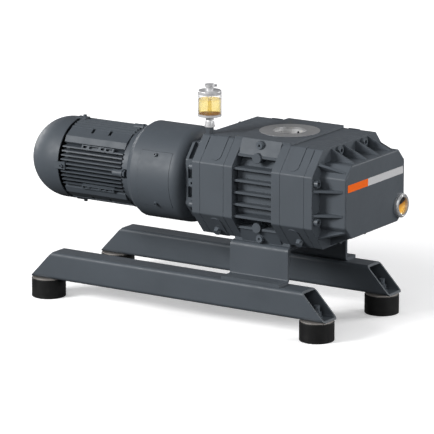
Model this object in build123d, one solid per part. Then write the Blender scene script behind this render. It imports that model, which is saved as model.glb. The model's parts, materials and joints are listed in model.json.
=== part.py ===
from build123d import *
import os
from math import cos, hypot, pi, radians, sin, sqrt, tan

# Roots vacuum booster: a two-lobe rotary pump, its coupling housing and motor in one line, on a
# base frame with four rubber feet. Millimetres. +X runs from the motor to the gear cover, +Z is
# up, and the operator's side is -Y. While modelling, X is measured from the inlet port's axis.

os.makedirs("parts", exist_ok=True)

# ---- driving dimensions -------------------------------------------------------------------
INLET_X = 200.0  # inlet axis, forward of the middle of the whole unit, which is the origin
AXIS_Z = 296.0  # all shafts above the floor
SHAFT_Y = 42.0  # each rotor shaft from the middle plane; also the gears' pitch radius
FIT = 0.02  # radial play of a seat
GAP = 0.4  # running clearance of the rotors

# Housing sections are octagons: half width, half side flat, half top flat, half height.
HOUSING = (153.0, 55.5, 108.0, 107.0)
COVER_BODY = (122.0, 52.5, 97.0, 78.5)
NECK = (78.0, 49.0, 50.0, 82.0)
CORE_INSET = 26.0  # depth of the cylinder's ribbed waist
WALL_INSET = 20.0  # thickness of the casing walls
CYLINDER_X = 70.0  # half length of the cylinder
WAIST_X = 49.0  # half length of its ribbed waist
CASING_X = 129.0  # outer face of both casings
FLANGE_X = 149.0  # outer face of both covers' flanges
COVER_END_X = 212.5  # end face of the gear cover
PORT_FACE = 112.0  # port faces above and below the shafts
PORT_BLOCK_Y = 109.0
PORT_RADIUS = 35.0
PORT_RING_RADIUS = 65.0
PORT_RING_HEIGHT = 4.0
THROAT_RADIUS = 37.0  # the wider cast passage behind each port
THROAT_Z = 80.0  # its depth towards the shafts
SLOPE_FOOT_Y = 128.0  # half width of the ports' sloping shoulders, at the outermost ribs
CHAMBER_RADIUS = 63.4
RIB_PITCH = 26.0
EDGE_BREAK = 0.7  # chamfer along the joints between castings

SHAFT_RADIUS = 15.0
ROTOR_SEAT_RADIUS = 18.0
COUPLING_SHAFT_RADIUS = 12.0
BEARING_X = (94.0, 110.0)
BEARING = (31.0, 27.0, 19.2)  # outer ring, its race, inner ring
GEAR_X = (116.0, 140.0)
GEAR_MODULE = 3.5
GEAR_TEETH = 24
GEAR_BACKLASH = 0.3  # taken off each tooth at the pitch circle

NECK_X = (-186.0, -149.0)
MOTOR_Y = -SHAFT_Y
DRUM_RADIUS = 104.5
DRUM_WALL = 7.0
DRUM_FILLET = 25.0
JOINT_X = -347.0  # motor flange
FRAME_X = -505.0  # fan end of the motor frame
FRAME_RADIUS = 72.0
FIN_RADIUS = 89.0
FIN_PITCH = 9.0
STATOR_RADIUS = 62.0
HOOD_RADIUS = 89.5
HOOD_RIM_X = -512.0
HOOD_DOME_X = -532.0
HOOD_END_X = -620.0
HOOD_WALL = 3.0

FOOT_RADIUS = 37.5
FOOT_HEIGHT = 45.0
FOOT_X = (-536.0, 152.0)
RAIL_Y = 135.0  # rail centre lines
RAIL_WIDTH = 55.0
RAIL_HEIGHT = 61.0
RAIL_WALL = 4.0
RAIL_X = (-567.0, 187.0)
RAIL_MITRE = 58.0
BRACKET_X = 72.0
BRACKET_Y = 123.0
BRACKET_FOOT_Y = 158.0
BRACKET_WALL = 7.0

GLASS_Y, GLASS_Z = 105.0, 251.0  # sight glass
BEZEL_RADIUS = 26.0
DRAIN_RADIUS = 6.0
FILLER_SEAT = ((180.0, COVER_BODY[0], AXIS_Z + 39.5), (0, 1, 0))
OILER_X, OILER_Y = -140.0, -97.0
CUP_RADIUS = 25.3  # the oiler's glass cup
CUP_BORE = 23.8
HINGE_REACH = 14.0  # oiler axis to its lid's pin
PIN_RADIUS = 0.8

NECK_SCREW_ANGLES = (45, 135, 225, 315)
NECK_PORT = ((-168.0, MOTOR_Y - 81.0, AXIS_Z), (0, -1, 0))  # face of its plug, and its direction
NECK_BOLT_CIRCLE = 66.0  # coupling housing on the neck
NECK_SCREW_CIRCLE = 56.0  # neck on the drive end cover
HOUSING_BOLT_ANGLES = (0, 90, 180, 270)
HATCH_X = (-294.0, -213.0)  # coupling hatch
HATCH_ANGLE = 35.0  # half its arc
FLANGE_BOLT_CIRCLE = 85.0
LUG_THICKNESS = 5.0
JAW_X = (-276.0, -261.0)  # faces of the two coupling hubs

MOTOR_BEARING = (26.0, 22.5, 16.4)
MOTOR_BEARINGS = [(FRAME_X, FRAME_X + 14), (JOINT_X - 15, JOINT_X - 1)]
STATOR_X = (-478.0, -384.0)
PAD_SLOT_X = (-446.0, -401.0)
POCKETS = ((-447.0, 11.0), (-424.0, 24.0), (-401.0, 10.0), (-384.0, 16.0))  # centre, length
TERMINAL_X = (-482.0, -395.0)
TERMINAL_Y = (38.0, 96.0)
TERMINAL_HALF = 37.0
HOOD_TAB_X = -500.0
FOOT_THREAD = 5.1

SIDES = (-1, 1)
CORNERS = [(side_y, side_z) for side_y in SIDES for side_z in SIDES]
COVER_SCREWS = [(y * 141.0, AXIS_Z + z * 41.0) for y, z in CORNERS]
COVER_SCREWS += [(y * 50.0, AXIS_Z + z * 96.5) for y, z in CORNERS]
COVER_SCREW_SIZE = 10.0
COVER_SCREW_LENGTH = 38.0
BRACKET_BOLTS = [(x * 48.0, y * 96.0) for x in SIDES for y in SIDES]


# ---- helpers ------------------------------------------------------------------------------
def save(name, *shapes):
    """Writes one sub-part, moved so that the origin is under the middle of the unit."""
    solids = [Pos(INLET_X, 0, 0) * solid for shape in shapes for solid in shape.solids()]
    export_step(solids[0] if len(solids) == 1 else Compound(children=solids), f"parts/{name}.step")


def block(x0, x1, y0, y1, z0, z1):
    return Pos((x0 + x1) / 2, (y0 + y1) / 2, (z0 + z1) / 2) * Box(x1 - x0, y1 - y0, z1 - z0)


def prism(section, x0, x1):
    """A YZ section drawn about the middle plane and the shaft height, pulled from x0 to x1."""
    return extrude(Plane((x0, 0, AXIS_Z), x_dir=(0, 1, 0), z_dir=(1, 0, 0)) * section, x1 - x0)


def bar(x0, x1, radius, y=0.0, z=AXIS_Z):
    return prism(Pos(y, z - AXIS_Z) * Circle(radius), x0, x1)


def ring(x0, x1, outer, inner, y=0.0, z=AXIS_Z):
    return bar(x0, x1, outer, y, z) - bar(x0, x1, inner, y, z)


def rod(start, direction, radius, length):
    upright = Cylinder(radius, length, align=(Align.CENTER, Align.CENTER, Align.MIN))
    return Plane(origin=start, z_dir=direction) * upright


def hexagon(start, direction, flats, length):
    outline = RegularPolygon(flats / 2, 6, major_radius=False)
    return extrude(Plane(origin=start, z_dir=direction) * outline, length)


def octagon(sizes, inset=0.0, corner=6.0):
    half_width, side_flat, top_flat, half_height = sizes
    run, rise = half_width - top_flat, half_height - side_flat
    across, up = rise / hypot(run, rise), run / hypot(run, rise)
    reach = across * half_width + up * side_flat - inset
    width, height = half_width - inset, half_height - inset
    side, top = (reach - across * width) / up, (reach - up * height) / across
    quarter = [(width, side), (top, height)]
    mirrored = [(-y, z) for y, z in reversed(quarter)]
    below = [(-y, -z) for y, z in quarter + mirrored]
    outline = make_face(Polyline(*quarter, *mirrored, *below, close=True))
    return fillet(outline.vertices(), corner)


def broken_edges(slab):
    """A slab across the shafts, with the straight edges of its two end faces chamfered."""
    middle = slab.center().X
    lines = slab.edges().filter_by(GeomType.LINE)
    return chamfer(lines.filter_by(lambda e: abs(e.center().X - middle) > 1), EDGE_BREAK)


def revolved(outline, y=MOTOR_Y):
    """An (x, radius) outline turned about the shaft axis at y."""
    plane = Plane((0, y, AXIS_Z), x_dir=(1, 0, 0), z_dir=(0, -1, 0))
    return revolve(plane * make_face(outline), Axis((0, y, AXIS_Z), (1, 0, 0)))


def cap_screw(seat, direction, size, length):
    """A socket cap screw: its head stands on seat, and its shank runs along direction."""
    along = Vector(*direction).normalized()
    top = Vector(*seat) - along * size
    head = rod(top, along, 0.8 * size, size)
    shank = rod(seat, along, size / 2, length)
    return head + shank - hexagon(top, along, 0.8 * size, 0.55 * size)


def hex_bolt(seat, direction, size, length):
    along = Vector(*direction).normalized()
    head = hexagon(Vector(*seat) - along * 0.65 * size, along, 1.7 * size, 0.65 * size)
    return head + rod(seat, along, size / 2, length)


def bolt_hole(seat, direction, size, length):
    return rod(seat, direction, size / 2 + FIT, length + 1)


def around(radius, angles, y=MOTOR_Y):
    """Points (y, z) on a circle about a shaft; angles from +Y towards +Z."""
    return [(y + radius * cos(radians(a)), AXIS_Z + radius * sin(radians(a))) for a in angles]


def chamfer_plane(x, side_y, side_z, sizes=HOUSING):
    """The plane of one sloping face of an octagonal housing, with its origin mid-face."""
    half_width, side_flat, top_flat, half_height = sizes
    run, rise = half_width - top_flat, half_height - side_flat
    middle_y = side_y * (half_width + top_flat) / 2
    middle_z = AXIS_Z + side_z * (side_flat + half_height) / 2
    return Plane((x, middle_y, middle_z), x_dir=(1, 0, 0), z_dir=(0, side_y * rise, side_z * run))


# ---- pump housing -------------------------------------------------------------------------
def measuring_ports():
    """The four threaded measuring ports: centre of the boss face and its outward direction."""
    return [((0, y * (PORT_BLOCK_Y + 11), AXIS_Z + z * 101.0), (0, y, 0)) for y, z in CORNERS]


def cylinder_housing():
    body = prism(octagon(HOUSING), -CYLINDER_X, -WAIST_X)
    body += prism(octagon(HOUSING), WAIST_X, CYLINDER_X)
    lines = body.edges().filter_by(GeomType.LINE)
    body = chamfer(lines.filter_by(lambda e: abs(abs(e.center().X) - CYLINDER_X) < 0.1), EDGE_BREAK)
    body += prism(octagon(HOUSING, CORE_INSET), -WAIST_X, WAIST_X)
    for side_z in SIDES:
        heights = sorted((AXIS_Z + side_z * 84.0, AXIS_Z + side_z * PORT_FACE))
        port_block = block(-CYLINDER_X, CYLINDER_X, -PORT_BLOCK_Y, PORT_BLOCK_Y, *heights)
        body += fillet(port_block.edges().filter_by(Axis.Z), 3.0)
        face, foot = side_z * (PORT_FACE - 1), side_z * 3 * RIB_PITCH
        slope = [(-PORT_BLOCK_Y, face), (PORT_BLOCK_Y, face), (SLOPE_FOOT_Y, foot), (-SLOPE_FOOT_Y, foot)]
        body += prism(make_face(Polyline(*slope, close=True)), -WAIST_X, WAIST_X)
    for count in range(-3, 4):
        z = AXIS_Z + count * RIB_PITCH
        reach = 130.0 if abs(count) == 3 else 146.0
        root = 80.0 if abs(count) == 3 else 112.0
        for side_y in SIDES:
            ys = sorted((side_y * root, side_y * reach))
            body += block(-WAIST_X, WAIST_X, *ys, z - 2.5, z + 2.5)
    for side_y, side_z in CORNERS:
        boss = rod((0, side_y * 90, AXIS_Z + side_z * 75), (0, side_y, 0), 11, 44)
        body += chamfer(boss.edges().filter_by(GeomType.CIRCLE), 1.0)
    for face, outward in measuring_ports():
        body += rod(Vector(*face) - Vector(*outward) * 20, outward, 9.0, 20.0)
    body -= bar(-CYLINDER_X, CYLINDER_X, CHAMBER_RADIUS, -SHAFT_Y)
    body -= bar(-CYLINDER_X, CYLINDER_X, CHAMBER_RADIUS, SHAFT_Y)
    for side_z in SIDES:
        body -= rod((0, 0, AXIS_Z), (0, 0, side_z), PORT_RADIUS, 150)
        body -= rod((0, 0, AXIS_Z), (0, 0, side_z), THROAT_RADIUS, THROAT_Z)
        seat = AXIS_Z + side_z * (PORT_FACE - PORT_RING_HEIGHT)
        body -= rod((0, 0, seat), (0, 0, side_z), PORT_RING_RADIUS + FIT, 20)
    for face, outward in measuring_ports():
        inward = Vector(*outward) * -1
        body -= rod(face, inward, 5.0, 16.0)
        body -= rod(face, inward, 3.0, 90.0)
    for x, y in BRACKET_BOLTS:
        body -= bolt_hole((x, y, AXIS_Z - PORT_FACE), (0, 0, 1), 10, 18)
    return body


def casing(end):
    """A casing beside the cylinder; end is -1 at the motor and +1 at the gears."""

    def span(inner, outer):
        return sorted((end * inner, end * outer))

    body = broken_edges(prism(octagon(HOUSING), *span(CYLINDER_X, CASING_X)))
    for side_y, side_z in CORNERS:
        plane = chamfer_plane(end * 96.5, side_y, side_z).offset(-3)
        pad = plane * Pos(0, -side_y * side_z * 12) * RectangleRounded(25, 74, 12)
        body += extrude(pad, 8) & prism(octagon(HOUSING, -1.5), *span(CYLINDER_X, CASING_X))
    body -= prism(octagon(HOUSING, WALL_INSET), *span(92, CASING_X))
    for side_y in SIDES:
        body += bar(*span(90, 112), 39.0, side_y * SHAFT_Y)
    for side_y in SIDES:
        body -= bar(*span(60, 113), SHAFT_RADIUS + 1, side_y * SHAFT_Y)
        body -= bar(*span(92, 113), BEARING[0] + FIT, side_y * SHAFT_Y)
    body -= drain_seat(end) * Cylinder(DRAIN_RADIUS + FIT, 60)
    for y, z in COVER_SCREWS:
        body -= bolt_hole((end * CASING_X, y, z), (-end, 0, 0), COVER_SCREW_SIZE, 22)
    return body


def drain_seat(end):
    """The plane of a drain plug, low on the operator's side of a casing."""
    return chamfer_plane(end * 102.0, -1, -1) * Pos(0, -14, 1.5)


def drain_plug(end):
    seat = drain_seat(end)
    head = extrude(seat * Pos(0, 0, 1.5) * RegularPolygon(7, 6, major_radius=False), 8)
    collar = seat * Pos(0, 0, 0.75) * Cylinder(8.5, 1.5)
    return head + collar + seat * Pos(0, 0, -8) * Cylinder(DRAIN_RADIUS, 16)


def pry_slot(x, side_y):
    """A slot in an upper slope, where a cover is levered off its casing."""
    return chamfer_plane(x, side_y, 1) * Pos(0, -side_y * 15, 0) * Box(3, 30, 8)


def drive_end_cover():
    body = broken_edges(prism(octagon(HOUSING), -FLANGE_X, -CASING_X))
    body -= prism(octagon(HOUSING, WALL_INSET), -CASING_X - 8, -CASING_X)
    body -= bar(-FLANGE_X, -CASING_X, 40 + FIT, MOTOR_Y)
    for y, z in COVER_SCREWS:
        body -= bolt_hole((-FLANGE_X, y, z), (1, 0, 0), COVER_SCREW_SIZE, 20)
    for y, z in around(NECK_SCREW_CIRCLE, NECK_SCREW_ANGLES):
        body -= bolt_hole((-FLANGE_X, y, z), (1, 0, 0), 8, 10)
    for side_y in SIDES:
        body -= pry_slot(-CASING_X, side_y)
    body -= bolt_hole((OILER_X, OILER_Y, AXIS_Z + HOUSING[3]), (0, 0, -1), 12, 12)
    return body


def gusset(angle, sideways, root, tall, low):
    """A tapered rib between the gear cover's flange and its body, on the wall facing angle."""
    up = Vector(0, cos(radians(angle)), sin(radians(angle)))
    tangent = Vector(0, -up.Z, up.Y)
    origin = Vector(0, 0, AXIS_Z) + tangent * sideways
    plane = Plane(origin=origin, x_dir=(1, 0, 0), z_dir=(0, -up.Z, up.Y))
    outline = Polyline((FLANGE_X - 1, root), (FLANGE_X - 1, tall), (205, low), (205, root), close=True)
    return extrude(plane * make_face(outline), 2.5, both=True)


def gear_cover():
    flange = broken_edges(prism(octagon(HOUSING), CASING_X, FLANGE_X))
    shell = prism(octagon(COVER_BODY), CASING_X, COVER_END_X)
    shell = fillet(shell.faces().sort_by(Axis.X)[-1].edges(), 3.5)
    body = flange + shell
    for angle in (90, 270):
        for sideways in (-75, -25, 25, 75):
            body += gusset(angle, sideways, 72, 104.5, 79.5)
    for angle in (0, 180):
        for sideways in (-26, 26):
            body += gusset(angle, sideways, 116, 150.5, 123)
    for angle, side in ((41, 1), (139, -1), (221, 1), (319, -1)):
        body += gusset(angle, -24 * side, 119, 150, 126.5)
    body += bar(188, COVER_END_X, BEZEL_RADIUS, GLASS_Y, GLASS_Z)
    body -= prism(octagon(COVER_BODY, 7.0), CASING_X, COVER_END_X - 7)
    body -= bar(180, 220, 16, GLASS_Y, GLASS_Z)
    body -= bar(207.5, 220, 20 + FIT, GLASS_Y, GLASS_Z)
    for y, z in COVER_SCREWS:
        body -= bolt_hole((FLANGE_X, y, z), (-1, 0, 0), COVER_SCREW_SIZE, 20)
    for side_y in SIDES:
        body -= pry_slot(CASING_X, side_y)
    seat, outward = FILLER_SEAT
    body -= rod(Vector(*seat) - Vector(*outward) * 10, outward, 7 + FIT, 20)
    return body


def housing():
    save("cylinder", cylinder_housing())
    save("drive_end_casing", casing(-1))
    save("gear_end_casing", casing(1))
    save("drive_end_cover", drive_end_cover())
    save("gear_cover", gear_cover())
    port_rings = []
    for side_z in SIDES:
        seat = (0, 0, AXIS_Z + side_z * (PORT_FACE - PORT_RING_HEIGHT))
        disc = rod(seat, (0, 0, side_z), PORT_RING_RADIUS - FIT, PORT_RING_HEIGHT + 0.5)
        port_rings.append(disc - rod(seat, (0, 0, side_z), PORT_RADIUS, 20))
    save("port_flange_rings", *port_rings)
    save("drive_cover_screws", *[
        cap_screw((-FLANGE_X, y, z), (1, 0, 0), COVER_SCREW_SIZE, COVER_SCREW_LENGTH)
        for y, z in COVER_SCREWS
    ])
    save("gear_cover_screws", *[
        cap_screw((FLANGE_X, y, z), (-1, 0, 0), COVER_SCREW_SIZE, COVER_SCREW_LENGTH)
        for y, z in COVER_SCREWS
    ])


def plugs():
    port_plugs = []
    for face, outward in measuring_ports() + [NECK_PORT]:
        along = Vector(*outward)
        plug = rod(Vector(*face), outward, 7.5, 2.5) + rod(face, along * -1, 5 - FIT, 10)
        port_plugs.append(plug - hexagon(Vector(*face) + along * 2.5, along * -1, 5, 5))
    save("port_plugs", *port_plugs)
    seat, outward = FILLER_SEAT
    filler = rod(seat, outward, 9.5, 3) + rod(Vector(*seat) - Vector(*outward) * 9, outward, 7, 9)
    filler += hexagon(Vector(*seat) + Vector(*outward) * 3, outward, 13, 6)
    save("oil_plugs", drain_plug(-1), drain_plug(1), filler)


def sight_glass():
    front = COVER_END_X + 7.5
    rim = bar(COVER_END_X, front, BEZEL_RADIUS, GLASS_Y, GLASS_Z)
    bezel = bar(207.5, COVER_END_X, 20, GLASS_Y, GLASS_Z) + chamfer(rim.edges().sort_by(Axis.X)[-1:], 2.0)
    bezel -= ring(front - 1, front, 22.4, 21.4, GLASS_Y, GLASS_Z)
    bezel -= bar(200, 209.5, 16, GLASS_Y, GLASS_Z)
    bezel -= bar(209.5, 221, 18.5, GLASS_Y, GLASS_Z)
    save("sight_glass_bezel", bezel)
    save("sight_glass_lens", bar(209.5, 214.5, 18.5 - FIT, GLASS_Y, GLASS_Z))


def identification_strip():
    face = (COVER_END_X, COVER_END_X + 0.6)
    save("identification_strip", block(*face, -114, 114, AXIS_Z + 23.5, AXIS_Z + 39.5))


# ---- rotors and gears ---------------------------------------------------------------------
def lobe_outline(first_tip):
    """Two-lobe cycloidal section, a gap inside the exact shape; first_tip is a lobe's angle."""
    pitch, rolling = SHAFT_Y, SHAFT_Y / 4
    points = []
    for arch in range(4):
        outside = arch % 2 == 0
        sign = 1 if outside else -1
        reach = pitch + sign * rolling
        for step in range(1, 12):
            turn = radians(90 * (arch + step / 12))
            spin = reach / rolling * (turn - radians(90 * arch))
            heading = radians(90 * arch) + (spin if outside else -spin)
            y = reach * cos(turn) - sign * rolling * cos(heading)
            z = reach * sin(turn) - sign * rolling * sin(heading)
            away_y, away_z = y - pitch * cos(turn), z - pitch * sin(turn)
            shrink = sign * GAP / hypot(away_y, away_z)
            points.append((y - shrink * away_y, z - shrink * away_z))
    return Rot(0, 0, first_tip - 45) * make_face(Spline(*points, periodic=True))


def gear_outline(first_tooth):
    pitch = GEAR_MODULE * GEAR_TEETH / 2
    base = pitch * cos(radians(20))
    tip, root = pitch + 0.9 * GEAR_MODULE, pitch - 1.25 * GEAR_MODULE
    half_tooth = (pi * GEAR_MODULE / 2 - GEAR_BACKLASH) / 2 / pitch

    def flank_angle(radius):
        """Angle from the tooth's centre line to its flank at this radius."""
        unrolled = sqrt(max(radius * radius / base / base - 1, 0))
        at_pitch = tan(radians(20)) - radians(20)
        return half_tooth + at_pitch - (unrolled - Vector(1, unrolled).get_angle(Vector(1, 0)) * pi / 180)

    radii = [base, (base + pitch) / 2, pitch, (pitch + tip) / 2, tip]
    lines = []
    for tooth in range(GEAR_TEETH):
        middle = radians(first_tooth) + 2 * pi * tooth / GEAR_TEETH
        following = middle + 2 * pi / GEAR_TEETH

        def point(radius, angle):
            return (radius * cos(angle), radius * sin(angle))

        rising = [point(r, middle - flank_angle(r)) for r in radii]
        falling = [point(r, middle + flank_angle(r)) for r in reversed(radii)]
        foot, next_foot = middle + flank_angle(base), following - flank_angle(base)
        lines.append(Line(point(root, middle - flank_angle(base)), rising[0]))
        lines.append(Spline(*rising))
        lines.append(Line(rising[-1], falling[0]))
        lines.append(Spline(*falling))
        lines.append(Line(falling[-1], point(root, foot)))
        lines.append(Line(point(root, foot), point(root, next_foot)))
    return make_face(lines)


def gear(y, first_tooth):
    body = prism(Pos(y, 0) * gear_outline(first_tooth), *GEAR_X)
    body -= bar(*GEAR_X, SHAFT_RADIUS + FIT, y)
    for angle in range(0, 360, 60):
        hole_y, hole_z = around(27, [angle], y)[0]
        body -= bar(*GEAR_X, 5, hole_y, hole_z)
    return body


def lobed_rotor(y, first_tip):
    half = CYLINDER_X - GAP
    body = prism(Pos(y, 0) * lobe_outline(first_tip), -half, half)
    return body - bar(-half, half, ROTOR_SEAT_RADIUS + FIT, y)


def rotor_shaft(y, motor_end, gear_end):
    half = CYLINDER_X - GAP
    body = bar(motor_end, gear_end, SHAFT_RADIUS, y) + bar(-half, half, ROTOR_SEAT_RADIUS, y)
    ends = body.edges().filter_by(GeomType.CIRCLE)
    return chamfer([ends.sort_by(Axis.X)[0], ends.sort_by(Axis.X)[-1]], 1.0)


def inner_ring_and_balls(x0, x1, bore, inner, race, balls, y):
    """A bearing's inner ring, and its balls joined by their cage."""
    middle = (x0 + x1) / 2
    ball_radius = (race - inner) / 2 - 0.2
    track = (race + inner) / 2 - 0.1
    cage = ring(middle - 1.5, middle + 1.5, track + 1.2, track - 1.2, y)
    for y_ball, z_ball in around(track, [360 * n / balls for n in range(balls)], y):
        cage += Pos(middle, y_ball, z_ball) * Sphere(ball_radius)
    return [ring(x0, x1, inner, bore + FIT, y), cage]


def rotors():
    save("drive_rotor", lobed_rotor(-SHAFT_Y, 90))
    save("driven_rotor", lobed_rotor(SHAFT_Y, 0))
    drive = rotor_shaft(-SHAFT_Y, -165, 146) + bar(-259, -165, COUPLING_SHAFT_RADIUS, -SHAFT_Y)
    save("drive_shaft", drive)
    save("driven_shaft", rotor_shaft(SHAFT_Y, -114, 156))
    save("drive_timing_gear", gear(-SHAFT_Y, 0))
    save("driven_timing_gear", gear(SHAFT_Y, 180 / GEAR_TEETH))
    slinger = bar(146, 149, 58, SHAFT_Y) + bar(142, 153, 22, SHAFT_Y)
    save("oil_slinger", slinger - bar(142, 153, SHAFT_RADIUS + FIT, SHAFT_Y))
    outer, race, inner = BEARING
    rings = []
    for name, y in (("drive_shaft_bearings", -SHAFT_Y), ("driven_shaft_bearings", SHAFT_Y)):
        rolling = []
        for end in SIDES:
            x0, x1 = sorted(end * x for x in BEARING_X)
            rings.append(ring(x0, x1, outer, race, y))
            rolling += inner_ring_and_balls(x0, x1, SHAFT_RADIUS, inner, race, 9, y)
        save(name, *rolling)
    for x0, x1 in MOTOR_BEARINGS:
        rings.append(ring(x0, x1, MOTOR_BEARING[0], MOTOR_BEARING[1], MOTOR_Y))
    save("bearing_outer_rings", *rings)


# ---- neck and coupling --------------------------------------------------------------------
def neck():
    """The distance piece between pump and coupling housing; it carries the shaft seal."""
    x0, x1 = NECK_X
    full = Pos(MOTOR_Y, 0) * octagon(NECK)
    waist = Pos(MOTOR_Y, 0) * octagon(NECK, 9.0)
    body = prism(full, x0, x0 + 6) + prism(full, x1 - 6, x1) + prism(waist, x0, x1)
    for side_y in SIDES:
        for lift in (-42, 0, 42):
            y = MOTOR_Y + side_y * 71
            body += block(x0 + 6, x1 - 6, y - 7, y + 7, AXIS_Z + lift - 9, AXIS_Z + lift + 9)
    for side_z in SIDES:
        for shift in (-36, 36):
            z = AXIS_Z + side_z * 75
            body += block(x0 + 6, x1 - 6, MOTOR_Y + shift - 8, MOTOR_Y + shift + 8, z - 7, z + 7)
    face, outward = NECK_PORT
    body += rod(Vector(*face) + Vector(0, 8, 0), outward, 9, 8)
    body += bar(x1, x1 + 11, 40, MOTOR_Y)
    body -= bar(x0, x1 - 16, 46, MOTOR_Y)
    body -= bar(x1 - 16, x1 + 11, SHAFT_RADIUS + 2, MOTOR_Y)
    body -= bar(x1 - 16, x1 - 6, 26 + FIT, MOTOR_Y)
    body -= rod(face, (0, 1, 0), 5, 12)
    for y, z in around(NECK_SCREW_CIRCLE, NECK_SCREW_ANGLES):
        body -= bar(x0, x1 - 10, 7.5, y, z)
        body -= bolt_hole((x1 - 10, y, z), (1, 0, 0), 8, 18)
    for y, z in around(NECK_BOLT_CIRCLE, HOUSING_BOLT_ANGLES):
        body -= bolt_hole((x0, y, z), (1, 0, 0), 8, 14)
    return body


def wedge(x0, x1, half_angle):
    """Everything within half_angle of the operator's side of the coupling housing."""
    rise = 200 * tan(radians(half_angle))
    outline = Polyline((MOTOR_Y, 0), (MOTOR_Y - 200, rise), (MOTOR_Y - 200, -rise), close=True)
    return prism(make_face(outline), x0, x1)


def hatch_screws():
    """Seats and directions of the access hatch's screws."""
    found = []
    for side_z in SIDES:
        y, z = around(DRUM_RADIUS + 0.5, [180 + side_z * 30])[0]
        found.append(((-254, y, z), (0, MOTOR_Y - y, AXIS_Z - z)))
    return found


def coupling_housing():
    shoulder, end = DRUM_RADIUS - DRUM_FILLET, NECK_X[0]
    middle = sqrt(0.5)
    outer = [
        Polyline((JOINT_X, 0), (JOINT_X, 85), (-334, 85), (-325, 97), (-313, DRUM_RADIUS)),
        Line((-313, DRUM_RADIUS), (end - DRUM_FILLET, DRUM_RADIUS)),
        ThreePointArc(
            (end - DRUM_FILLET, DRUM_RADIUS),
            (end - DRUM_FILLET * (1 - middle), shoulder + DRUM_FILLET * middle),
            (end, shoulder),
        ),
        Polyline((end, shoulder), (end, 0), (JOINT_X, 0)),
    ]
    body = revolved(outer)
    for y, z in around(FLANGE_BOLT_CIRCLE, HOUSING_BOLT_ANGLES):
        body += bar(JOINT_X, JOINT_X + LUG_THICKNESS, 9, y, z)
    inner_corner = end - DRUM_FILLET
    hollow = [
        Polyline(
            (-331, 0), (-331, 72), (-313, DRUM_RADIUS - DRUM_WALL),
            (inner_corner, DRUM_RADIUS - DRUM_WALL),
        ),
        Polyline((inner_corner, DRUM_RADIUS - DRUM_WALL), (end - 8, shoulder - 2), (end - 8, 0), (-331, 0)),
    ]
    body -= revolved(hollow)
    body -= bar(JOINT_X, JOINT_X + 20, STATOR_RADIUS - 1, MOTOR_Y)
    body -= bar(end - 10, end, 46, MOTOR_Y)
    recess = ring(*HATCH_X, DRUM_RADIUS + 10, DRUM_RADIUS - 2.5, MOTOR_Y)
    body -= recess & wedge(*HATCH_X, HATCH_ANGLE)
    window = ring(HATCH_X[0] + 8, HATCH_X[1] - 8, DRUM_RADIUS + 10, 80, MOTOR_Y)
    body -= window & wedge(HATCH_X[0] + 8, HATCH_X[1] - 8, 25)
    for seat, direction in hatch_screws():
        body -= bolt_hole(seat, direction, 5, 12)
    for y, z in around(FLANGE_BOLT_CIRCLE, HOUSING_BOLT_ANGLES):
        body -= bar(JOINT_X + LUG_THICKNESS, -331, 10, y, z)
        body -= bolt_hole((JOINT_X + LUG_THICKNESS, y, z), (-1, 0, 0), 8, 24)
    for y, z in around(NECK_BOLT_CIRCLE, HOUSING_BOLT_ANGLES):
        body -= bolt_hole((end - 8, y, z), (1, 0, 0), 8, 14)
    return body


def hatch():
    x0, x1 = HATCH_X[0] + 0.6, HATCH_X[1] - 0.6
    plate = ring(x0, x1, DRUM_RADIUS + 0.5, DRUM_RADIUS - 2.5 + FIT, MOTOR_Y)
    plate = plate & wedge(x0, x1, HATCH_ANGLE - 0.4)
    for seat, direction in hatch_screws():
        plate -= rod(Vector(*seat) - Vector(*direction).normalized() * 5, direction, 2.5 + FIT, 20)
    return plate


def sector(radius, inner, middle, half_angle):
    """A ring sector of a YZ section, about the motor's axis."""
    edge = 1.5 * radius
    outline = [
        (0, 0),
        (edge * cos(radians(middle - half_angle)), edge * sin(radians(middle - half_angle))),
        (edge * cos(radians(middle + half_angle)), edge * sin(radians(middle + half_angle))),
    ]
    shape = (Circle(radius) - Circle(inner)) & make_face(Polyline(*outline, close=True))
    return Pos(MOTOR_Y, 0) * shape


def coupling():
    pump_hub = bar(JAW_X[1], JAW_X[1] + 32, 38, MOTOR_Y)
    motor_hub = bar(JAW_X[0] - 32, JAW_X[0], 38, MOTOR_Y)
    for middle in (0, 120, 240):
        pump_hub += prism(sector(38, 17, middle, 20), JAW_X[0] + 1, JAW_X[1] + 1)
        motor_hub += prism(sector(38, 17, middle + 60, 20), JAW_X[0] - 1, JAW_X[1] - 1)
    bore = bar(JAW_X[0] - 50, JAW_X[1] + 50, COUPLING_SHAFT_RADIUS + FIT, MOTOR_Y)
    save("pump_coupling_hub", pump_hub - bore)
    save("motor_coupling_hub", motor_hub - bore)
    spider = ring(JAW_X[0] + 1.5, JAW_X[1] - 1.5, 16.5, 13, MOTOR_Y)
    for middle in range(30, 390, 60):
        spider += prism(sector(36, 15, middle, 9), JAW_X[0] + 1.5, JAW_X[1] - 1.5)
    save("coupling_spider", spider)


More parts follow.
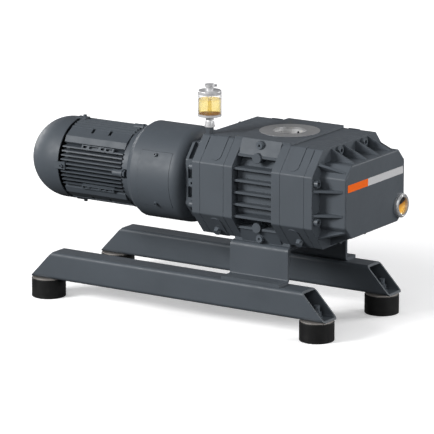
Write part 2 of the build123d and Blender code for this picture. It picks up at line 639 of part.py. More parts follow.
def drive_line():
    save("neck", neck())
    seal = ring(NECK_X[1] - 15, NECK_X[1] - 6.5, 26, 22, MOTOR_Y)
    seal += ring(NECK_X[1] - 8.5, NECK_X[1] - 6.5, 23, SHAFT_RADIUS + 0.08, MOTOR_Y)
    save("shaft_seal", seal)
    neck_screws = [
        cap_screw((NECK_X[1] - 10, y, z), (1, 0, 0), 8, 18)
        for y, z in around(NECK_SCREW_CIRCLE, NECK_SCREW_ANGLES)
    ]
    housing_bolts = [
        hex_bolt((NECK_X[0] - 8, y, z), (1, 0, 0), 8, 20)
        for y, z in around(NECK_BOLT_CIRCLE, HOUSING_BOLT_ANGLES)
    ]
    motor_bolts = [
        hex_bolt((JOINT_X + LUG_THICKNESS, y, z), (-1, 0, 0), 8, 22)
        for y, z in around(FLANGE_BOLT_CIRCLE, HOUSING_BOLT_ANGLES)
    ]
    save("drive_line_bolts", *neck_screws, *housing_bolts, *motor_bolts)
    save("coupling_housing", coupling_housing())
    save("coupling_hatch", hatch())
    coupling()


# ---- motor --------------------------------------------------------------------------------
def on_frame(x, side_y, side_z, angle):
    """A place on the frame's skin, angle up or down from its side; local +Y points outward."""
    turned = angle if side_y * side_z > 0 else -angle
    return Pos(x, MOTOR_Y, AXIS_Z) * Rot(turned if side_y > 0 else turned + 180, 0, 0) * Pos(0, 85, 0)


def motor_frame():
    fins = Circle(FRAME_RADIUS)
    for count in range(10):
        offset = (count - 4.5) * FIN_PITCH
        fins += Pos(0, offset) * Rectangle(2 * FIN_RADIUS + 4, 2.6)
        fins += Pos(offset, 0) * Rectangle(2.6, 2 * FIN_RADIUS + 4)
    fins = fins & Circle(FIN_RADIUS)
    for side_y, side_z in CORNERS:
        pad = [(68, 64), (88, 61.5), (90, 44), (87, 35), (68, 33)]
        corners = [(side_y * r * cos(radians(a)), side_z * r * sin(radians(a))) for r, a in pad]
        fins += make_face(Polyline(*corners, close=True))
    body = prism(Pos(MOTOR_Y, 0) * fins, FRAME_X, JOINT_X)
    foot, head = AXIS_Z - TERMINAL_HALF, AXIS_Z + TERMINAL_HALF
    body -= block(TERMINAL_X[0] - 4, TERMINAL_X[1] + 4, 30, 60, foot - 4, head + 4)
    body += block(*TERMINAL_X, 10, TERMINAL_Y[0], foot, head)
    for y, z in around(FLANGE_BOLT_CIRCLE, HOUSING_BOLT_ANGLES):
        body += bar(JOINT_X - 20, JOINT_X, 8, y, z)
    for angle in HOUSING_BOLT_ANGLES:
        tab = Pos(HOOD_TAB_X, 0, 0) * Rot(angle, 0, 0) * Pos(0, 80, 0) * Box(9, 18, 16)
        body += Pos(0, MOTOR_Y, AXIS_Z) * tab
    body -= bar(FRAME_X, JOINT_X, STATOR_RADIUS, MOTOR_Y)
    for side_y, side_z in CORNERS:
        for x in PAD_SLOT_X:
            body -= on_frame(x, side_y, side_z, 58) * Box(7, 12, 14)
        body += on_frame(-414, side_y, side_z, 30) * Pos(0, -4, 0) * Box(84, 18, 9)
        for x, length in POCKETS:
            body -= on_frame(x, side_y, side_z, 30) * Pos(0, 2, 0) * Box(length, 9, 5.5)
    for y, z in around(FLANGE_BOLT_CIRCLE, HOUSING_BOLT_ANGLES):
        body -= bolt_hole((JOINT_X, y, z), (-1, 0, 0), 8, 18)
    for seat, direction in hood_screws():
        body -= bolt_hole(seat, direction, 5, 16)
    body -= block(-460, -417, 0, TERMINAL_Y[0], AXIS_Z - 12, AXIS_Z + 12)
    return body


def hood_screws():
    """Seats and directions of the four screws through the fan hood's tabs."""
    found = []
    for y, z in around(HOOD_RADIUS + 2.55, HOUSING_BOLT_ANGLES):
        found.append(((HOOD_TAB_X, y, z), (0, MOTOR_Y - y, AXIS_Z - z)))
    return found


def end_shield(x0, x1, lip_x0, lip_x1):
    body = ring(x0, x1, STATOR_RADIUS - FIT, MOTOR_BEARING[0] + FIT, MOTOR_Y)
    body += ring(lip_x0, lip_x1, 30, 18, MOTOR_Y)
    for y, z in around(44, range(0, 360, 60)):
        body -= bar(x0, x1, 7, y, z)
    return body


def fan_hood():
    def dome(radius, length):
        steps = [i / 12 for i in range(13)]
        points = [(HOOD_DOME_X - length * sin(s * pi / 2), radius * cos(s * pi / 2)) for s in steps]
        points[-1] = (HOOD_DOME_X - length, 0)
        return [
            Polyline((HOOD_RIM_X, 0), (HOOD_RIM_X, radius), (HOOD_DOME_X, radius)),
            Spline(*points, tangents=[(-1, 0), (0, -1)]),
            Line((HOOD_DOME_X - length, 0), (HOOD_RIM_X, 0)),
        ]

    depth = HOOD_DOME_X - HOOD_END_X
    shell = revolved(dome(HOOD_RADIUS, depth))
    for angle in HOUSING_BOLT_ANGLES:
        arm = Rot(angle, 0, 0) * Pos(0, HOOD_RADIUS + 1.05, 0) * Box(26, 3, 16)
        shell += Pos(HOOD_RIM_X + 7, MOTOR_Y, AXIS_Z) * arm
    shell -= revolved(dome(HOOD_RADIUS - HOOD_WALL, depth - HOOD_WALL))
    shell -= bar(HOOD_RIM_X - 1, HOOD_RIM_X + 40, HOOD_RADIUS - HOOD_WALL, MOTOR_Y)
    for count in range(20):
        slot = SlotOverall(22, 4.6)
        section = Rot(0, 0, 18 * count) * Pos(28, 0) * slot
        shell -= prism(Pos(MOTOR_Y, 0) * section, HOOD_END_X - 5, HOOD_END_X + 40)
    shell -= prism(Pos(MOTOR_Y, 0) * Circle(4), HOOD_END_X - 5, HOOD_END_X + 20)
    for count in range(8):
        y, z = around(10, [45 * count])[0]
        shell -= bar(HOOD_END_X - 5, HOOD_END_X + 20, 2.4, y, z)
    for seat, direction in hood_screws():
        shell -= rod(Vector(*seat) - Vector(*direction).normalized() * 5, direction, 2.5 + FIT, 20)
    return shell


def motor():
    save("motor_frame", motor_frame())
    save("drive_end_shield", end_shield(JOINT_X - 16, JOINT_X, JOINT_X - 1, JOINT_X))
    save("fan_end_shield", end_shield(FRAME_X, FRAME_X + 15, FRAME_X + 14, FRAME_X + 15))
    windings = [ring(x0, x1, 60, 43, MOTOR_Y) for x0, x1 in ((-488, STATOR_X[0]), (STATOR_X[1], -368))]
    windings = [fillet(w.edges().filter_by(GeomType.CIRCLE), 3) for w in windings]
    save("stator", ring(*STATOR_X, STATOR_RADIUS - FIT, 38.6, MOTOR_Y), *windings)
    shaft = bar(-507, -346, 12.5, MOTOR_Y) + bar(-482, -380, 15, MOTOR_Y)
    shaft += bar(-558, -507, 9, MOTOR_Y) + bar(-346, -299, COUPLING_SHAFT_RADIUS, MOTOR_Y)
    save("motor_shaft", shaft)
    save("motor_rotor", ring(*STATOR_X, 38, 15 + FIT, MOTOR_Y))
    rolling = []
    for x0, x1 in MOTOR_BEARINGS:
        rolling += inner_ring_and_balls(x0, x1, 12.5, MOTOR_BEARING[2], MOTOR_BEARING[1], 9, MOTOR_Y)
    save("motor_shaft_bearings", *rolling)
    fan = bar(-556, -530, 18, MOTOR_Y) + bar(-533, -530, 62, MOTOR_Y)
    for count in range(9):
        blade = Rot(40 * count, 0, 0) * Pos(0, 43, 0) * Box(24, 58, 3)
        fan += Pos(-544, MOTOR_Y, AXIS_Z) * blade
    save("fan", fan - bar(-557, -529, 9 + FIT, MOTOR_Y))
    save("fan_hood", fan_hood())
    small_screws = [cap_screw(seat, direction, 5, 14) for seat, direction in hood_screws()]
    small_screws += [cap_screw(seat, direction, 5, 9) for seat, direction in hatch_screws()]
    save("hood_and_hatch_screws", *small_screws)

    y0, y1 = TERMINAL_Y
    half = TERMINAL_HALF
    box = block(*TERMINAL_X, y0, y1, AXIS_Z - half, AXIS_Z + half)
    box = fillet(box.edges().filter_by(Axis.Y), 6)
    box -= block(TERMINAL_X[0] + 4, TERMINAL_X[1] - 4, y0 + 4, y1, AXIS_Z - half + 4, AXIS_Z + half - 4)
    box -= block(-460, -417, y0, y0 + 4, AXIS_Z - 12, AXIS_Z + 12)
    gland_x, gland_y = -437.0, 67.0
    box -= rod((gland_x, gland_y, AXIS_Z - half - 1), (0, 0, 1), 10 + FIT, 8)
    save("terminal_box", box)
    lid = block(*TERMINAL_X, y1, y1 + 6, AXIS_Z - half, AXIS_Z + half)
    lid = fillet(lid.edges().filter_by(Axis.Y), 6)
    save("terminal_box_lid", fillet(lid.faces().sort_by(Axis.Y)[-1].edges(), 2))
    gland = hexagon((gland_x, gland_y, AXIS_Z - half), (0, 0, -1), 24, 7)
    gland += rod((gland_x, gland_y, AXIS_Z - half - 7), (0, 0, -1), 11, 14)
    gland += rod((gland_x, gland_y, AXIS_Z - half), (0, 0, 1), 10, 7)
    gland -= rod((gland_x, gland_y, AXIS_Z - half - 22), (0, 0, 1), 6, 40)
    save("cable_gland", gland)


# ---- shaft seal oiler ---------------------------------------------------------------------
def oiler():
    base = AXIS_Z + HOUSING[3]

    def upright(bottom, top, radius, hole=0.0):
        """A vertical cylinder on the oiler's axis, between two heights above the drive end cover."""
        start, up = (OILER_X, OILER_Y, base + bottom), (0, 0, 1)
        shape = rod(start, up, radius, top - bottom)
        return shape - rod(start, up, hole, top - bottom) if hole else shape

    nut = hexagon((OILER_X, OILER_Y, base), (0, 0, 1), 17, 12)
    save("oiler_nipple", nut + upright(12, 15, 7.5) + upright(-10, 0, 6))
    plane = Plane((OILER_X, OILER_Y, base), x_dir=(1, 0, 0), z_dir=(0, -1, 0))
    foot = Polyline((0, 15), (11.5, 15), (11.5, 17), (10.6, 17))
    flank = Spline((10.6, 17), (10.2, 22.5), (8.8, 30), tangents=[(0, 1), (-0.5, 1)])
    top = Polyline((8.8, 30), (8.8, 38), (0, 38), (0, 15))
    axis = Axis((OILER_X, OILER_Y, 0), (0, 0, 1))
    save("oiler_drip_sight", revolve(plane * make_face([foot, flank, top]), axis))
    save("oiler_base", upright(38, 43.5, CUP_RADIUS) - upright(42, 43.5, CUP_RADIUS - 1.3))
    spigot = upright(42, 43.5, CUP_RADIUS - 1.4, CUP_BORE)
    save("oiler_glass", spigot + upright(43.5, 85.5, CUP_RADIUS, CUP_BORE))
    save("oiler_tube", upright(42, 82, 4.3, 2.6))
    save("oiler_oil", upright(42, 75, CUP_BORE - 0.1, 4.4))
    cap = fillet(upright(85.5, 94, CUP_RADIUS).edges().sort_by(Axis.Z)[-1:], 2.5)
    cap += upright(93, 104.5, 8.3) + upright(102, 104.5, 10.8)
    hinge_x, hinge_z = OILER_X + HINGE_REACH, base + 105.9
    for side in SIDES:
        lug = block(hinge_x - 5.5, hinge_x + 1.6, OILER_Y - 1.2, OILER_Y + 1.2, base + 102, hinge_z + 1.6)
        cap += Pos(0, side * 3.6, 0) * lug
    cap += rod((hinge_x, OILER_Y - 4.8, hinge_z), (0, 1, 0), PIN_RADIUS, 9.6)
    cap -= upright(85.5, 104.5, 6.5)
    save("oiler_cap", cap)
    lid = upright(104.8, 106.8, 10.8)
    lid -= block(hinge_x - 5.8, hinge_x + 9, OILER_Y - 5.2, OILER_Y + 5.2, base + 100, base + 110)
    lid += block(OILER_X + 7, hinge_x, OILER_Y - 2.1, OILER_Y + 2.1, base + 105, base + 106.8)
    lid += rod((hinge_x, OILER_Y - 2.1, hinge_z), (0, 1, 0), 1.7, 4.2)
    lid += block(hinge_x, hinge_x + 4, OILER_Y - 2.1, OILER_Y + 2.1, hinge_z - 0.6, hinge_z + 1.2)
    lid -= rod((hinge_x, OILER_Y - 5, hinge_z), (0, 1, 0), PIN_RADIUS + 0.07, 10)
    save("oiler_lid", lid)


# ---- base frame ---------------------------------------------------------------------------
def rail(side_y):
    half = RAIL_WIDTH / 2
    section = RectangleRounded(RAIL_WIDTH, RAIL_HEIGHT, 8) - RectangleRounded(
        RAIL_WIDTH - 2 * RAIL_WALL, RAIL_HEIGHT - 2 * RAIL_WALL, 8 - RAIL_WALL
    )
    x0, x1 = RAIL_X
    middle_z = FOOT_HEIGHT + RAIL_HEIGHT / 2
    plane = Plane((x0, side_y * RAIL_Y, middle_z), x_dir=(0, 1, 0), z_dir=(1, 0, 0))
    body = extrude(plane * section, x1 - x0)
    top = FOOT_HEIGHT + RAIL_HEIGHT
    corners = [(x0, FOOT_HEIGHT), (x1, FOOT_HEIGHT), (x1 - RAIL_MITRE, top), (x0 + RAIL_MITRE, top)]
    outline = Polyline(*corners, close=True)
    sideways = Plane((0, side_y * RAIL_Y, 0), x_dir=(1, 0, 0), z_dir=(0, -1, 0))
    body = body & extrude(sideways * make_face(outline), half + 1, both=True)
    for x in FOOT_X:
        body -= rod((x, side_y * RAIL_Y, FOOT_HEIGHT - 1), (0, 0, 1), 6.5, 8)
    return body


def bracket(side_y):
    rail_top = FOOT_HEIGHT + RAIL_HEIGHT
    top = AXIS_Z - PORT_FACE
    web_out, web_in = BRACKET_Y, BRACKET_Y - BRACKET_WALL
    outline = Polyline(
        (web_in, rail_top), (BRACKET_FOOT_Y, rail_top), (BRACKET_FOOT_Y, rail_top + BRACKET_WALL),
        (web_out, rail_top + BRACKET_WALL), (web_out, top), (BRACKET_FOOT_Y - 84, top),
        (BRACKET_FOOT_Y - 84, top - BRACKET_WALL), (web_in, top - BRACKET_WALL), close=True,
    )
    section = make_face(outline)
    bends = [(web_in, rail_top), (web_out, rail_top + BRACKET_WALL)]
    bends += [(web_out, top), (web_in, top - BRACKET_WALL)]
    for y, z in bends:
        corner = section.vertices().sort_by_distance((y, z))[0]
        outside = (y, z) in (bends[0], bends[2])
        section = fillet([corner], 10.0 if outside else 3.0)
    if side_y < 0:
        section = mirror(section, Plane.YZ)
    plane = Plane((-BRACKET_X, 0, 0), x_dir=(0, 1, 0), z_dir=(1, 0, 0))
    body = extrude(plane * section, 2 * BRACKET_X)
    for x, y in BRACKET_BOLTS:
        if y * side_y > 0:
            body -= rod((x, y, top - 20), (0, 0, 1), 5.5, 30)
    return body


def base_frame():
    save("near_rail", rail(-1))
    save("far_rail", rail(1))
    save("near_bracket", bracket(-1))
    save("far_bracket", bracket(1))
    seat = AXIS_Z - PORT_FACE - BRACKET_WALL
    save("bracket_bolts", *[hex_bolt((x, y, seat), (0, 0, 1), 10, 22) for x, y in BRACKET_BOLTS])
    buffers, plates, fasteners = [], [], []
    floor_z = FOOT_HEIGHT + RAIL_WALL
    for x in FOOT_X:
        for y in (-RAIL_Y, RAIL_Y):
            rubber = rod((x, y, 0), (0, 0, 1), FOOT_RADIUS, FOOT_HEIGHT - 3)
            rubber = fillet(rubber.edges().filter_by(GeomType.CIRCLE), 1.5)
            rubber -= rod((x, y, 0), (0, 0, 1), 14 + FIT, 14)
            rubber -= rod((x, y, FOOT_HEIGHT - 15), (0, 0, 1), 6 + FIT, 20)
            buffers.append(rubber)
            insert = rod((x, y, 0), (0, 0, 1), 14, 14) - rod((x, y, 0), (0, 0, 1), FOOT_THREAD, 12)
            disc = rod((x, y, FOOT_HEIGHT - 3), (0, 0, 1), FOOT_RADIUS - 2, 3)
            disc -= rod((x, y, FOOT_HEIGHT - 4), (0, 0, 1), 6 + FIT, 5)
            plates += [insert, disc]
            stud = rod((x, y, FOOT_HEIGHT - 15), (0, 0, 1), 6, 45)
            washer = rod((x, y, floor_z), (0, 0, 1), 12, 2.5) - rod((x, y, floor_z), (0, 0, 1), 6 + FIT, 5)
            nut = hexagon((x, y, floor_z + 2.5), (0, 0, 1), 19, 10)
            nut -= rod((x, y, floor_z), (0, 0, 1), 6 + FIT, 20)
            fasteners += [stud, washer, nut]
    save("foot_buffers", *buffers)
    save("foot_plates", *plates)
    save("foot_fasteners", *fasteners)


housing()
plugs()
sight_glass()
identification_strip()
rotors()
drive_line()
motor()
oiler()
base_frame()
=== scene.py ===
"""The looks of a two-lobe vacuum booster pump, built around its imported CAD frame, in metres."""

import json
import math

import bpy
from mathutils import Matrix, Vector


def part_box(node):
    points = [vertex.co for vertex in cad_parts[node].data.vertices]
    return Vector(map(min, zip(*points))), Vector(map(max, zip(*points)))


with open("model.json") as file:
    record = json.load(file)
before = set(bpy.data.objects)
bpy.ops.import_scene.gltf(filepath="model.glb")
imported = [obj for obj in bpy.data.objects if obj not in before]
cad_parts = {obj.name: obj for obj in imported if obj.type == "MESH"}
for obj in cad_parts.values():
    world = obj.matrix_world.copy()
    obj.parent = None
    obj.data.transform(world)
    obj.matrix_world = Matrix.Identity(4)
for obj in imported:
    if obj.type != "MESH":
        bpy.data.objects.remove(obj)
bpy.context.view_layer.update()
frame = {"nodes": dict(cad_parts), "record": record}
NODES = frame["nodes"]


# ---- places, from the frame, and sizes ----------------------------------------------------
def middle(node):
    """The centre of a node's box."""
    low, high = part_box(node)
    return [(a + b) / 2 for a, b in zip(low, high)]


PORT_CENTRE = middle("port_flange_rings")
SHAFT_CENTRES = (middle("drive_shaft"), middle("driven_shaft"))
BEZEL_CENTRE = middle("sight_glass_bezel")

PORT_RADIUS = 0.037  # of the passage between the two ports
CHAMBER_RADIUS = 0.0634  # of the chamber that a rotor turns in
WALL_MARGIN = 0.0002  # how far bare metal reaches into a wall
WALL_FADE = 0.0002

X, Y, Z = range(3)
MIX_INPUTS = (0, 6, 7)  # the factor, A and B of a Mix node set to colours
MIX_RESULT = 2


# ---- materials ----------------------------------------------------------------------------
def grey(value):
    return (value, value, value, 1)


def slate(value):
    """The machine's blue-grey, at a brightness."""
    return (value, value * 1.17, value * 1.36, 1)


class Mat:
    """A node material, with short calls for the nodes it is made of."""

    def __init__(self, name, **sockets):
        self.material = bpy.data.materials.new(name)
        self.material.use_nodes = True
        self.tree = self.material.node_tree
        self.shader = self.tree.nodes["Principled BSDF"]
        for socket, value in sockets.items():
            self.shader.inputs[socket.replace("_", " ")].default_value = value
        self.place = self.tree.nodes.new("ShaderNodeTexCoord").outputs["Object"]

    def feed(self, value, socket):
        """Links a socket to another node's output, or sets it to a plain value."""
        if isinstance(value, bpy.types.NodeSocket):
            self.tree.links.new(value, socket)
        else:
            socket.default_value = value

    def new(self, kind, **inputs):
        node = self.tree.nodes.new("ShaderNode" + kind)
        for key, value in inputs.items():
            self.feed(value, node.inputs[key])
        return node

    def noise(self, scale, detail=4.0, rough=0.55, stretch=None):
        place = self.place
        if stretch:
            place = self.new("Mapping", Vector=place, Scale=stretch).outputs[0]
        noise = self.new("TexNoise", Vector=place, Scale=scale, Detail=detail, Roughness=rough)
        return noise.outputs[0]

    def ramp(self, factor, *stops):
        """Turns a factor into a grey or a colour; each stop is a position and its value."""
        node = self.new("ValToRGB")
        elements = node.color_ramp.elements
        elements[0].position, elements[1].position = stops[0][0], stops[-1][0]
        for position, _ in stops[1:-1]:
            elements.new(position)
        for element, (_, value) in zip(elements, stops):
            element.color = value if isinstance(value, tuple) else grey(value)
        self.feed(factor, node.inputs[0])
        return node.outputs[0]

    def mix(self, factor, first, second):
        node = self.new("Mix")
        node.data_type = "RGBA"
        for index, value in zip(MIX_INPUTS, (factor, first, second)):
            self.feed(value, node.inputs[index])
        return node.outputs[MIX_RESULT]

    def maths(self, operation, first, second=0.0, clamp=False):
        node = self.new("Math")
        node.operation = operation
        node.use_clamp = clamp
        for socket, value in zip(node.inputs, (first, second)):
            self.feed(value, socket)
        return node.outputs[0]

    def colour(self, source):
        self.feed(source, self.shader.inputs["Base Color"])

    def rough(self, source):
        self.feed(source, self.shader.inputs["Roughness"])

    def glow(self, source, strength):
        self.feed(source, self.shader.inputs["Emission Color"])
        self.feed(strength, self.shader.inputs["Emission Strength"])

    def bump(self, height, distance, strength):
        """Adds a bump on top of any earlier one."""
        node = self.new("Bump", Height=height, Strength=strength, Distance=distance)
        normal = self.shader.inputs["Normal"]
        if normal.is_linked:
            self.feed(normal.links[0].from_socket, node.inputs["Normal"])
        self.feed(node.outputs[0], normal)

    def edge(self):
        """1 on an edge, 0 on a flat: how far a rounded normal turns from the true one."""
        bevel = self.new("Bevel", Radius=0.0012)
        bevel.samples = 4
        geometry = self.new("NewGeometry")
        dot = self.new("VectorMath")
        dot.operation = "DOT_PRODUCT"
        self.feed(bevel.outputs[0], dot.inputs[0])
        self.feed(geometry.outputs["Normal"], dot.inputs[1])
        return self.maths("SUBTRACT", 1.0, dot.outputs["Value"], clamp=True)

    def along(self, axis):
        """A point's coordinate on one axis."""
        return self.new("SeparateXYZ", Vector=self.place).outputs[axis]


def radius_about(m, axis, centre):
    """How far a point is from a line along one axis through centre."""
    moved = m.new("Mapping", Vector=m.place, Location=[-c for c in centre]).outputs[0]
    parts = m.new("SeparateXYZ", Vector=moved).outputs
    squares = [m.maths("MULTIPLY", parts[i], parts[i]) for i in range(3) if i != axis]
    return m.maths("SQRT", m.maths("ADD", *squares))


def bare_zone(m, axis, centre, radius):
    """1 in a bore and just into its wall, 0 further out."""
    reach = radius + WALL_MARGIN
    return m.ramp(radius_about(m, axis, centre), (reach, 1.0), (reach + WALL_FADE, 0.0))


def paint(name, tone, cast=0.00022, gloss=0.52):
    """Blue-grey machine enamel: soft mottling, orange peel, casting texture, lighter worn edges."""
    m = Mat(name, Specular_IOR_Level=0.3)
    base = m.ramp(m.noise(9.0, 3.0), (0.3, slate(tone * 0.93)), (0.7, slate(tone * 1.07)))
    wear = m.ramp(m.edge(), (0.02, 0.0), (0.25, 1.0))
    wear = m.maths("MULTIPLY", wear, m.ramp(m.noise(210.0, 2.0, 0.7), (0.35, 0.3), (0.7, 0.85)))
    m.colour(m.mix(wear, base, slate(tone * 1.6)))
    m.rough(m.ramp(m.noise(60.0, 3.0), (0.3, gloss - 0.05), (0.7, gloss + 0.07)))
    m.bump(m.noise(900.0, 2.0, 0.5), cast * 0.35, 0.35)
    m.bump(m.noise(260.0, 3.0, 0.6), cast, 0.3)
    return m


def machined(m, bare, tone):
    """Turns paint into bare metal where bare is 1."""
    painted = m.shader.inputs["Base Color"].links[0].from_socket
    stain = m.ramp(m.noise(40.0, 4.0), (0.3, grey(tone * 0.85)), (0.7, grey(tone)))
    m.colour(m.mix(bare, painted, stain))
    m.feed(m.maths("MULTIPLY", bare, 0.8), m.shader.inputs["Metallic"])


def cylinder_paint():
    """The same enamel, with bare metal in the ports and the rotor chambers."""
    m = paint("cylinder_paint", TONE)
    port = bare_zone(m, Z, PORT_CENTRE, PORT_RADIUS)
    chambers = [bare_zone(m, X, centre, CHAMBER_RADIUS) for centre in SHAFT_CENTRES]
    machined(m, m.maths("MAXIMUM", port, m.maths("MAXIMUM", *chambers)), 0.6)
    return m.material


def metal(name, tone, rough, stretch=(1, 1, 1), scale=400.0, warm=0.0, metallic=1.0):
    """Bare metal with fine tool marks along one direction and slight stains."""
    m = Mat(name, Metallic=metallic)
    marks = m.noise(scale, 3.0, 0.6, stretch)
    low = (tone * (0.86 + warm), tone * 0.86, tone * (0.87 - warm), 1)
    high = (tone * (1 + warm), tone, tone * (1.01 - warm), 1)
    m.colour(m.mix(m.ramp(m.noise(30.0, 4.0), (0.35, 0.0), (0.7, 1.0)), low, high))
    m.rough(m.ramp(marks, (0.3, rough * 0.8), (0.7, rough * 1.25)))
    m.bump(marks, 0.00004, 0.5)
    return m.material


def turned(name, tone, axis, centre, rough, metallic=0.85):
    """Metal faced on a lathe: fine rings about an axis through centre."""
    m = Mat(name, Metallic=metallic)
    rings_per_metre = 1100.0
    turns = m.maths("MULTIPLY", radius_about(m, axis, centre), rings_per_metre * 2 * math.pi)
    rings = m.maths("SINE", turns)
    stained = (tone * 0.85, tone * 0.86, tone * 0.87, 1)
    m.colour(m.ramp(m.noise(45.0, 4.0), (0.3, stained), (0.7, grey(tone))))
    m.rough(m.ramp(m.noise(150.0, 3.0), (0.3, rough * 0.85), (0.7, rough * 1.2)))
    m.bump(rings, 0.00003, 0.25)
    return m.material


def plastic(name, colour, rough=0.45):
    """Moulded plastic with a fine grain."""
    m = Mat(name, Specular_IOR_Level=0.4)
    dark = tuple(c * 0.9 for c in colour) + (1,)
    m.colour(m.ramp(m.noise(25.0, 3.0), (0.3, dark), (0.7, colour + (1,))))
    m.rough(m.ramp(m.noise(120.0, 3.0), (0.3, rough * 0.9), (0.7, rough * 1.15)))
    m.bump(m.noise(900.0, 2.0, 0.6), 0.00006, 0.5)
    return m.material


def strip_print():
    """A printed strip: orange at the operator's end, light grey for the rest, with no lettering."""
    m = Mat("strip_print", Specular_IOR_Level=0.2)
    low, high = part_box("identification_strip")
    orange_share = 0.36
    change = m.maths("GREATER_THAN", m.along(Y), low[Y] + orange_share * (high[Y] - low[Y]))
    grain = m.noise(300.0, 2.0)
    orange = m.ramp(grain, (0.3, (0.86, 0.13, 0.008, 1)), (0.7, (0.92, 0.15, 0.01, 1)))
    silver = m.ramp(grain, (0.3, (0.52, 0.52, 0.53, 1)), (0.7, (0.58, 0.58, 0.59, 1)))
    m.colour(m.mix(change, orange, silver))
    m.rough(m.ramp(m.noise(150.0, 2.0), (0.3, 0.34), (0.7, 0.42)))
    m.bump(m.noise(1200.0, 2.0), 0.00001, 0.3)
    return m.material


def foot_rubber():
    """Moulded black rubber with a faint dusty bloom."""
    m = Mat("foot_rubber", Specular_IOR_Level=0.3)
    tone = 0.006
    dust = m.ramp(m.noise(55.0, 5.0, 0.65), (0.5, 0.0), (0.85, 1.0))
    dusty = (tone * 2.2, tone * 2.2, tone * 2.1, 1)
    m.colour(m.mix(dust, (tone, tone, tone * 1.05, 1), dusty))
    m.rough(m.ramp(dust, (0.0, 0.5), (1.0, 0.72)))
    m.bump(m.noise(1100.0, 3.0, 0.6), 0.00008, 0.5)
    return m.material


def oiler_clear():
    """Clear glass, with painted shade that darkens its outline where the curved wall turns away from
    view.
    """
    m = Mat("oiler_clear", Transmission_Weight=1.0, IOR=1.25)
    facing_for_painted_edge_shade = m.new("LayerWeight", Blend=0.5).outputs["Facing"]
    # painted shade: the glass colour is pale where it faces the view and darkens to near black at
    # its outline
    m.colour(m.ramp(facing_for_painted_edge_shade, (0.0, 0.97), (0.35, 0.9), (0.6, 0.6), (0.85, 0.22), (1.0, 0.08)))
    m.rough(m.ramp(m.noise(70.0, 3.0), (0.3, 0.0), (0.8, 0.03)))
    m.bump(m.noise(120.0, 2.0), 0.00002, 0.15)
    return m.material


def wavy_height(m, node, point_height, ripple):
    """How high a point is in a node's box, 0 to 1, shifted up or down a little by noise."""
    low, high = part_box(node)
    share = m.maths("DIVIDE", m.maths("SUBTRACT", point_height, low[Z]), high[Z] - low[Z])
    shift = m.maths("MULTIPLY", m.maths("SUBTRACT", m.noise(ripple, 2.0), 0.5), 0.1)
    return m.maths("ADD", share, shift)


def lens_glass():
    """The sight glass: golden oil up to its level behind the glass, near-black painted shade for the
    unlit inside of the case above it, and a painted glow.
    """
    m = Mat("lens_glass", Specular_IOR_Level=0.5, Coat_Weight=1.0, Coat_Roughness=0.03)
    level, above_level = 0.56, 0.62
    slope = m.maths("MULTIPLY", m.maths("SUBTRACT", m.along(Y), middle("sight_glass_lens")[Y]), 0.25)
    wavy = wavy_height(m, "sight_glass_lens", m.maths("SUBTRACT", m.along(Z), slope), 90.0)
    gold = m.ramp(
        wavy,
        (0.0, (0.9, 0.5, 0.08, 1)),
        (0.3, (0.85, 0.42, 0.05, 1)),
        (level, (0.45, 0.18, 0.02, 1)),
    )
    # painted shade: near-black above the oil level, standing in for the unlit inside of the case
    # behind the glass
    tint_with_painted_glow = m.mix(m.ramp(wavy, (level, 0.0), (above_level, 1.0)), gold, (0.012, 0.013, 0.014, 1))
    m.colour(tint_with_painted_glow)
    # painted light: the colour, oil and painted shade alike, glows though nothing here is a lamp
    m.glow(tint_with_painted_glow, 0.25)
    m.rough(m.ramp(m.noise(70.0, 3.0), (0.3, 0.08), (0.8, 0.16)))
    return m.material


def oil():
    """Clear golden oil, redder at the foot of its cup, glowing faintly as painted light."""
    m = Mat("oil", Transmission_Weight=0.95, IOR=1.08)
    tint_with_painted_glow = m.ramp(
        wavy_height(m, "oiler_oil", m.along(Z), 60.0),
        (0.0, (0.95, 0.3, 0.03, 1)),
        (0.05, (0.85, 0.58, 0.12, 1)),
        (0.1, (0.76, 0.62, 0.24, 1)),
        (0.9, (0.76, 0.64, 0.3, 1)),
        (0.97, (0.72, 0.54, 0.16, 1)),
    )
    m.colour(tint_with_painted_glow)
    # painted light: the oil glows faintly in its own colour
    m.glow(tint_with_painted_glow, 0.1)
    m.rough(m.ramp(m.noise(50.0, 2.0), (0.3, 0.0), (0.8, 0.04)))
    return m.material


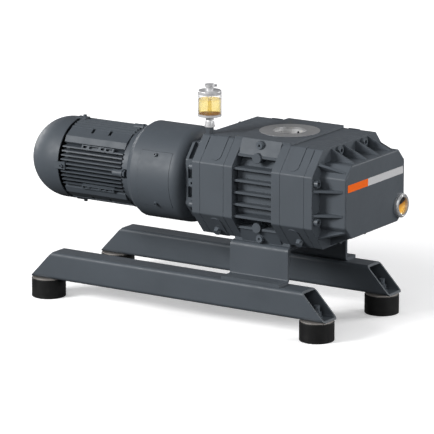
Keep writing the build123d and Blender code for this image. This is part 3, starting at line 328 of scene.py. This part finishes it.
TONE = 0.066  # brightness of the machine's enamel
MATERIALS = {
    "pump_paint": paint("pump_paint", TONE).material,
    "hatch_paint": paint("hatch_paint", TONE, cast=0.0001).material,
    "motor_paint": paint("motor_paint", TONE * 0.92, cast=0.00016).material,
    "frame_paint": paint("frame_paint", TONE * 0.95, cast=0.0001, gloss=0.48).material,
    "rotor_iron": metal("rotor_iron", 0.42, 0.32, (0.1, 1, 1)),
    "shaft_steel": metal("shaft_steel", 0.55, 0.22, (1, 0.2, 0.2)),
    "screw_steel": paint("screw_steel", TONE, cast=0.00003, gloss=0.42).material,
    "plug_steel": paint("plug_steel", TONE * 1.2, cast=0.00003, gloss=0.42).material,
    "port_metal": turned("port_metal", 0.48, Z, PORT_CENTRE, 0.42),
    "plate_steel": metal("plate_steel", 0.5, 0.5, warm=0.06),
    "foot_rubber": foot_rubber(),
    "hub_iron": metal("hub_iron", 0.35, 0.4),
    "spider_rubber": plastic("spider_rubber", (0.35, 0.03, 0.02), 0.55),
    "core_steel": metal("core_steel", 0.4, 0.42, (30, 1, 1)),
    "fan_plastic": plastic("fan_plastic", (0.02, 0.02, 0.022)),
    "shield_iron": metal("shield_iron", 0.3, 0.5),
    "strip_print": strip_print(),
    "bezel_metal": turned("bezel_metal", 0.75, X, BEZEL_CENTRE, 0.3, metallic=0.7),
    "lens_glass": lens_glass(),
    "gland_plastic": plastic("gland_plastic", (0.02, 0.02, 0.022)),
    "oiler_dark": paint("oiler_dark", TONE * 0.8, cast=0.00003, gloss=0.4).material,
    "oiler_metal": metal("oiler_metal", 0.62, 0.34, scale=200.0, metallic=0.35),
    "oiler_clear": oiler_clear(),
    "oil": oil(),
}
slots = {s["node"]: s["material_slot"] for s in frame["record"]["subparts"]}
for name, node in NODES.items():
    node.data.materials.clear()
    node.data.materials.append(MATERIALS[slots[name]])
NODES["cylinder"].data.materials[0] = cylinder_paint()


# ---- stage --------------------------------------------------------------------------------
LIGHT_AIM = (0.0, 0.0, 0.25)
LIGHTS = {  # place, size and watts
    "key": ((-2.0, -3.4, 2.1), (1.6, 1.2), 215),
    "front": ((1.2, -4.2, 1.9), (2.4, 1.2), 35),
    "fill": ((4.2, -0.4, 1.1), (1.4, 1.4), 58),
    "back": ((2.8, 3.4, 1.6), (1.8, 1.5), 110),
    "motor end": ((-3.8, 1.2, 0.9), (1.4, 1.2), 45),
}


def add_floor():
    """A studio floor. To the camera, also through glass, it is pale and lifted to white, most of
    all far off. To every other ray it is dark, so it throws little light up at the machine."""
    m = Mat("floor", Specular_IOR_Level=0.05, Roughness=0.95)
    path = m.new("LightPath").outputs
    seen = m.maths("MAXIMUM", path["Is Camera Ray"], path["Is Transmission Ray"])
    grain = m.noise(2.0)
    dark_tint = m.ramp(grain, (0.3, 0.07), (0.7, 0.08))
    pale_tint = m.ramp(grain, (0.3, 0.93), (0.7, 0.95))
    m.colour(m.mix(seen, dark_tint, pale_tint))
    tens_of_metres = m.maths("MULTIPLY", radius_about(m, Z, (0, 0, 0)), 0.1)
    lift = m.ramp(tens_of_metres, (0.09, 0.28), (0.3, 0.75))
    m.glow((1, 1, 1, 1), m.maths("MULTIPLY", seen, lift))
    bpy.ops.mesh.primitive_plane_add(size=60, location=(0, 0, 0))
    floor = bpy.context.object
    floor.name = "floor"
    floor.data.materials.append(m.material)


def look_along(thing, place, aim):
    thing.location = place
    thing.rotation_euler = (Vector(aim) - Vector(place)).to_track_quat("-Z", "Y").to_euler()


def add_light(name, place, size, power):
    light = bpy.data.lights.new(name, "AREA")
    light.shape = "RECTANGLE"
    light.size, light.size_y = size
    light.energy = power
    lamp = bpy.data.objects.new(name, light)
    bpy.context.scene.collection.objects.link(lamp)
    look_along(lamp, place, LIGHT_AIM)


def studio_world():
    """White to the camera, also through glass; to every other ray a dim room, darker overhead."""
    world = bpy.data.worlds.new("studio")
    world.use_nodes = True
    tree = world.node_tree
    background = tree.nodes["Background"]
    upward = tree.nodes.new("ShaderNodeSeparateXYZ")
    tree.links.new(tree.nodes.new("ShaderNodeTexCoord").outputs["Generated"], upward.inputs[0])
    room = tree.nodes.new("ShaderNodeValToRGB")
    for element, (position, value) in zip(room.color_ramp.elements, ((0.0, 0.28), (0.5, 0.2))):
        element.position = position
        element.color = (value, value, value * 1.04, 1)
    tree.links.new(upward.outputs[2], room.inputs[0])
    path = tree.nodes.new("ShaderNodeLightPath")
    either = tree.nodes.new("ShaderNodeMath")
    either.operation = "MAXIMUM"
    tree.links.new(path.outputs["Is Camera Ray"], either.inputs[0])
    tree.links.new(path.outputs["Is Transmission Ray"], either.inputs[1])
    factor, unseen, seen = MIX_INPUTS
    choose = tree.nodes.new("ShaderNodeMix")
    choose.data_type = "RGBA"
    choose.inputs[seen].default_value = (1, 1, 1, 1)
    tree.links.new(either.outputs[0], choose.inputs[factor])
    tree.links.new(room.outputs[0], choose.inputs[unseen])
    tree.links.new(choose.outputs[MIX_RESULT], background.inputs[0])
    background.inputs[1].default_value = 1.0
    bpy.context.scene.world = world
    bpy.context.scene.view_settings.view_transform = "Standard"


add_floor()
studio_world()
for name, (place, size, power) in LIGHTS.items():
    add_light(name, place, size, power)

# ---- camera -------------------------------------------------------------------------------
CAMERA_PLACE = (4.28865, -6.63932, 2.08121)
CAMERA_AIM = (0.01604, 0.0, 0.19491)

camera = bpy.data.cameras.new("camera")
camera.sensor_width = 36.0
camera.lens = 310.9
camera.clip_end = 100.0
viewer = bpy.data.objects.new("camera", camera)
bpy.context.scene.collection.objects.link(viewer)
look_along(viewer, CAMERA_PLACE, CAMERA_AIM)
bpy.context.scene.camera = viewer
